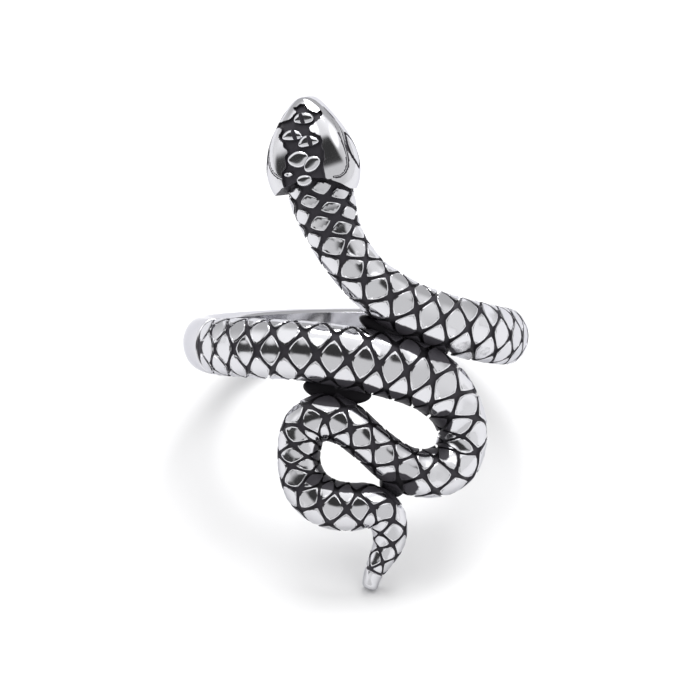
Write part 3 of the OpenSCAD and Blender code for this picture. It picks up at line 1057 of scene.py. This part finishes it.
# Marks of cleanness between which black turns into steel, and how far below 0 the black deepens
# into the painted shade of junctions and webs
BORDER, SHADE_DEEPENING = (0.42, 0.68), (0.0, 0.8)
# Roughness of the steel, what the black adds to it, and its unevenness
POLISH, BLACK_DULLNESS, UNEVEN = 0.1, 0.38, 0.06
# How metallic the black is, and how much it shines
BLACK_METALLIC, BLACK_SPECULAR = 0.1, 0.2
# Strength of the dimples that casting leaves, and their depth in metres
DIMPLES, DIMPLE_DEPTH = 0.06, 0.00004


def blackened_shaded_steel():
    """Polished cast steel whose grooves are filled with a dull black, with a deeper black of
    painted shade where branches meet.
    """
    material = bpy.data.materials.new("blackened_shaded_steel")
    material.use_nodes = True
    tree = material.node_tree
    shader = tree.nodes["Principled BSDF"]
    start = Maths(tree, None)
    place_on = start.node("ShaderNodeTexCoord", output=3)
    clean = start.node("ShaderNodeAttribute", {"attribute_name": "clean"}, output=2)
    fine = start.node("ShaderNodeTexNoise", Vector=place_on, Scale=FINE_GRAIN, Detail=3.0)
    coarse = start.node("ShaderNodeTexNoise", Vector=place_on, Scale=COARSE_GRAIN, Detail=2.0)
    ragged = clean + (coarse - 0.5) * COARSE_RAGGED + (fine - 0.5) * FINE_RAGGED
    steel = ragged.between(*BORDER)
    # Below 0 the black deepens into painted shade where branches meet
    black = start.mixed(BLACK, DEEP_SHADE_BLACK, (0 - ragged).between(*SHADE_DEEPENING))
    colour = start.mixed(black, STEEL, steel)
    metallic = BLACK_METALLIC + (1 - BLACK_METALLIC) * steel
    rough = (1 - steel) * BLACK_DULLNESS + (coarse - 0.5) * UNEVEN + POLISH
    bump = start.node("ShaderNodeBump", Height=coarse, Strength=DIMPLES, Distance=DIMPLE_DEPTH)
    tree.links.new(colour.socket, shader.inputs["Base Color"])
    tree.links.new(metallic.socket, shader.inputs["Metallic"])
    tree.links.new(rough.socket, shader.inputs["Roughness"])
    tree.links.new(bump.socket, shader.inputs["Normal"])
    shader.inputs["Specular Tint"].default_value = STEEL_TINT
    shader.inputs["Specular IOR Level"].default_value = BLACK_SPECULAR
    return material


FLOOR_COLOUR, FLOOR_DULLNESS = (0.86, 0.86, 0.865, 1), 0.7
FLOOR_SIZE = 4


def pale_floor():
    material = bpy.data.materials.new("pale_floor")
    material.use_nodes = True
    shader = material.node_tree.nodes["Principled BSDF"]
    shader.inputs["Base Color"].default_value = FLOOR_COLOUR
    shader.inputs["Roughness"].default_value = FLOOR_DULLNESS
    return material


def add_floor():
    bpy.ops.mesh.primitive_plane_add(size=FLOOR_SIZE)
    floor = bpy.context.object
    floor.name = "floor"
    floor.data.materials.append(pale_floor())


# Light

def add_soft_light(name, size, watts, far, azimuth, elevation):
    """A square soft light that looks at the ring; azimuth 0 is the camera's side."""
    a, e = math.radians(azimuth), math.radians(elevation)
    way = Vector((math.sin(a) * math.cos(e), -math.cos(a) * math.cos(e), math.sin(e)))
    bpy.ops.object.light_add(type="AREA", location=way * far)
    light = bpy.context.object
    light.name = name
    light.data.size = size
    light.data.energy = watts
    light.rotation_euler = way.to_track_quat("Z", "Y").to_euler()


def soft_box(x, up, middle_x, middle_up, half_x, half_up):
    """1 inside a soft oval of directions, 0 outside."""
    a, b = (x - middle_x) * (1 / half_x), (up - middle_up) * (1 / half_up)
    return 1 - (a * a + b * b).between(*BOX_SOFTNESS)


# How bright the tent is before the ring, what its rim, its upper part and its two boxes add, and
# how much the dark band takes away; then how bright it is behind the ring, and less towards the top
TENT_LIGHT, RIM_LIGHT, UPPER_LIGHT, BOX_LIGHT, BAND_DARKNESS = 0.84, 0.2, 0.30, 0.8, 0.94
BACK_LIGHT, BACK_LOSS = 1.08, 0.45
# A box: its middle across and up, and half its breadth and height
BOXES = [(-0.20, 0.68, 0.17, 0.14), (0.52, 0.62, 0.14, 0.20)]
BOX_SOFTNESS = (0.5, 1.3)
# The band's slants at its foot, its top and its cut right corner, and where each of them fades
FOOT_SLANT, TOP_SLANT, CORNER_SLANT = 0.25, 0.4, 0.89
FOOT_FADE, TOP_FADE = (-0.03, 0.08), (0.46, 0.58)
CORNER_FADE, SIDES_FADE = (0.74, 0.92), (-0.2, 0.2)
RIM_FADE, UPPER_FADE = (0.45, 0.85), (0.42, 0.60)
BACK_FADE, BEHIND_FADE = (0.25, 0.65), (-0.15, 0.15)


def light_studio():
    """A pale tent with two brighter boxes above and a dark band round the camera."""
    world = bpy.data.worlds.new("studio")
    bpy.context.scene.world = world
    world.use_nodes = True
    tree = world.node_tree
    start = Maths(tree, None)
    way = start.node("ShaderNodeTexCoord", output=0)
    x, y, z = (start.node("ShaderNodeSeparateXYZ", Vector=way, output=k) for k in range(3))
    up = y * math.sin(LEAN) + z * math.cos(LEAN)
    front = z * math.sin(LEAN) - y * math.cos(LEAN)
    band = up - x * FOOT_SLANT
    dark = band.between(*FOOT_FADE) * (1 - (up - x * TOP_SLANT).between(*TOP_FADE))
    dark = dark * (1 - (x + up * CORNER_SLANT).between(*CORNER_FADE)) * front.between(*SIDES_FADE)
    rim = (x * x + up * up).between(*RIM_FADE) * RIM_LIGHT
    upper = band.between(*UPPER_FADE) * UPPER_LIGHT
    left_box, right_box = (soft_box(x, up, *box) for box in BOXES)
    boxes = (left_box + right_box) * BOX_LIGHT
    before = (TENT_LIGHT + rim + upper + boxes) * (1 - dark * BAND_DARKNESS)
    behind = BACK_LIGHT - up.between(*BACK_FADE) * BACK_LOSS
    side = front.between(*BEHIND_FADE)
    light = before * side + behind * (1 - side)
    tree.links.new(light.socket, tree.nodes["Background"].inputs["Color"])
    add_soft_light("high_light", size=0.5, watts=5.0, far=0.8, azimuth=170, elevation=55)
    bpy.context.scene.view_settings.view_transform = "Standard"


add_camera()
ring = cast_ring()
ring.data.materials.clear()
ring.data.materials.append(blackened_shaded_steel())
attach(ring, "root")
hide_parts("snake_ring")
add_floor()
light_studio()
